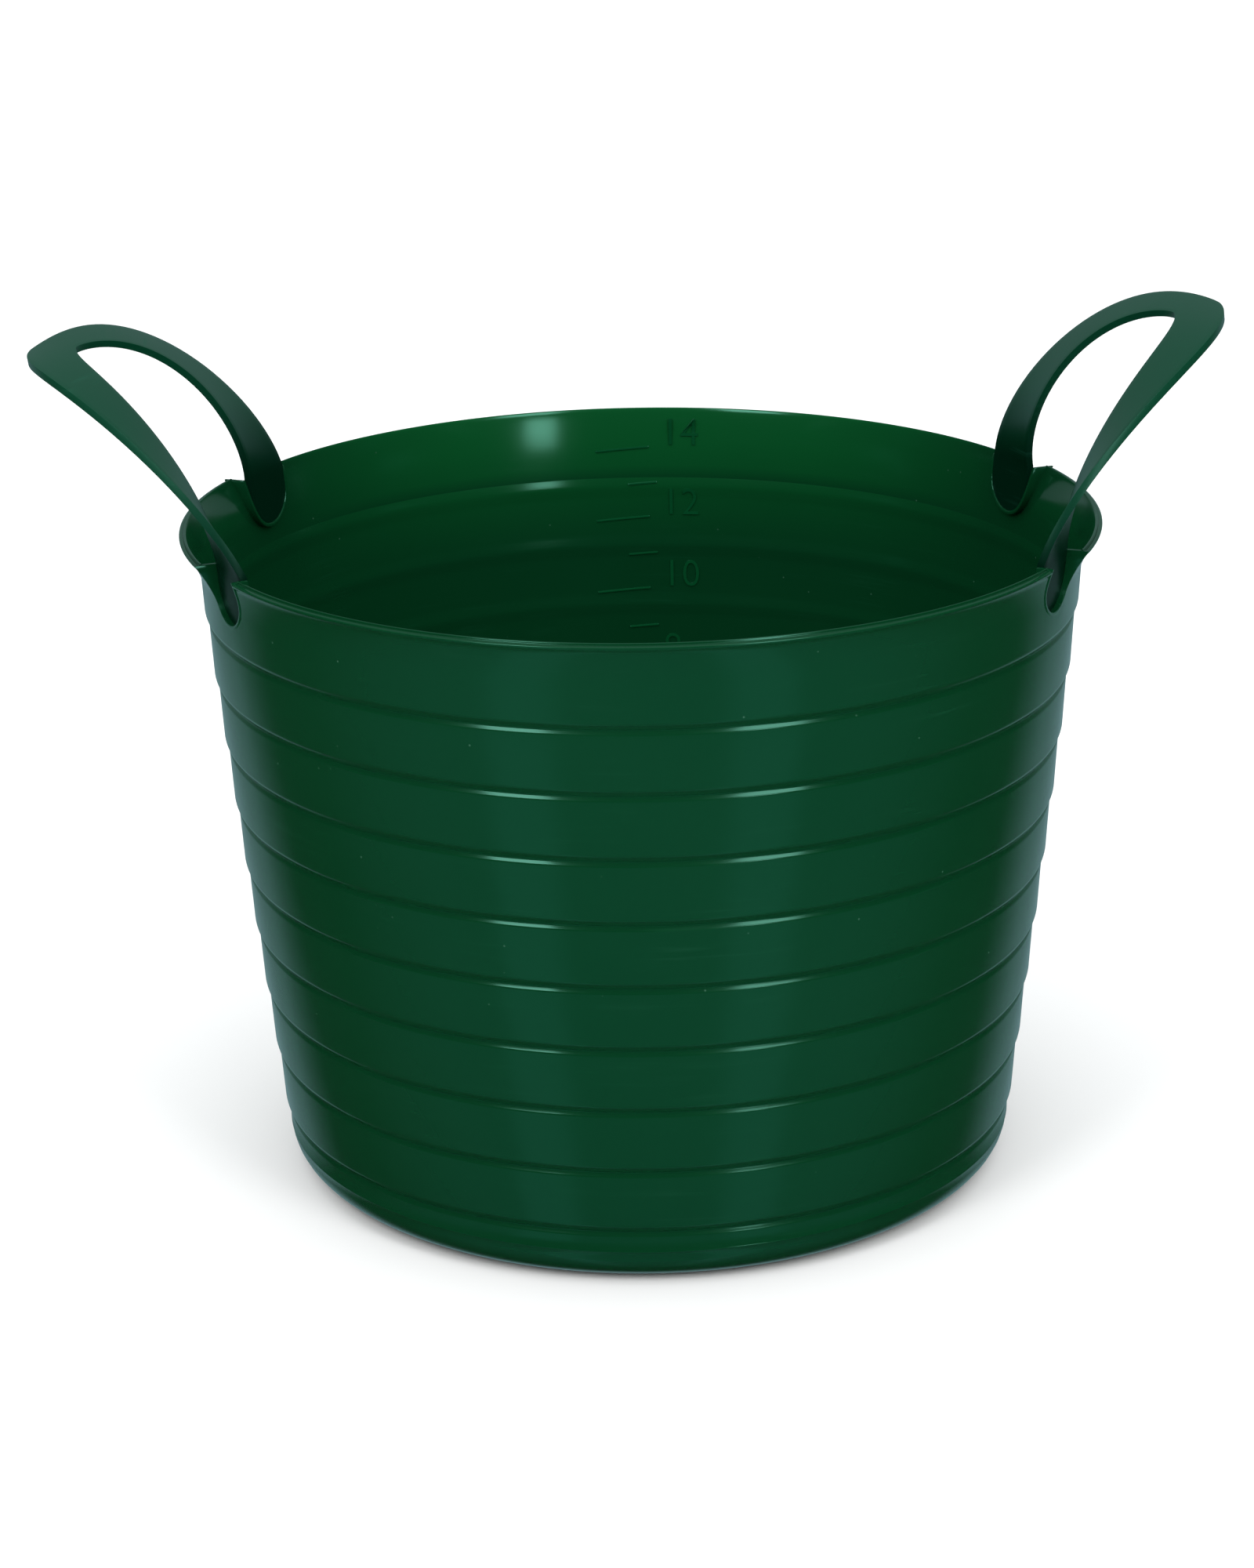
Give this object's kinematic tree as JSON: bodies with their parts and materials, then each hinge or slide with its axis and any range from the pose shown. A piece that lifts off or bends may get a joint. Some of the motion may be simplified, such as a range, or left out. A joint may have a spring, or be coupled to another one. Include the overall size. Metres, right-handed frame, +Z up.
{
  "type": "florist bucket",
  "caption": "Flexible round tub in dark green plastic with a stepped conical wall, a rounded heel and strap handles that stand up and out from the rim.",
  "frame": {"origin": "middle of the flat underside", "axes": "+Z up out of the mouth, +X towards the right handle, -Y towards the front"},
  "size_m": [0.4186, 0.32, 0.3128],
  "materials": {
    "green_moulding": "glossy flexible polyethylene, lightly scuffed",
    "green_strap": "semi-gloss flexible polyethylene, paler where it is handled"
  },
  "bodies": {
    "tub": {"tub_shell": "green_moulding", "handle_root_left_front": "green_moulding", "handle_root_left_back": "green_moulding", "handle_root_right_front": "green_moulding", "handle_root_right_back": "green_moulding"},
    "left_strap": {"handle_left": "green_strap"},
    "right_strap": {"handle_right": "green_strap"}
  },
  "joints": [
    {"name": "left_handle_bend", "type": "hinge", "parent": "tub", "child": "left_strap", "pos_m": [-0.14295, 0, 0.2473], "axis": [0, 1, 0], "range_deg": [-35, 65], "stiffness_Nm_per_rad": 0.7},
    {"name": "right_handle_bend", "type": "hinge", "parent": "tub", "child": "right_strap", "pos_m": [0.14012, 0, 0.2473], "axis": [0, -1, 0], "range_deg": [-35, 65], "stiffness_Nm_per_rad": 0.7}
  ]
}
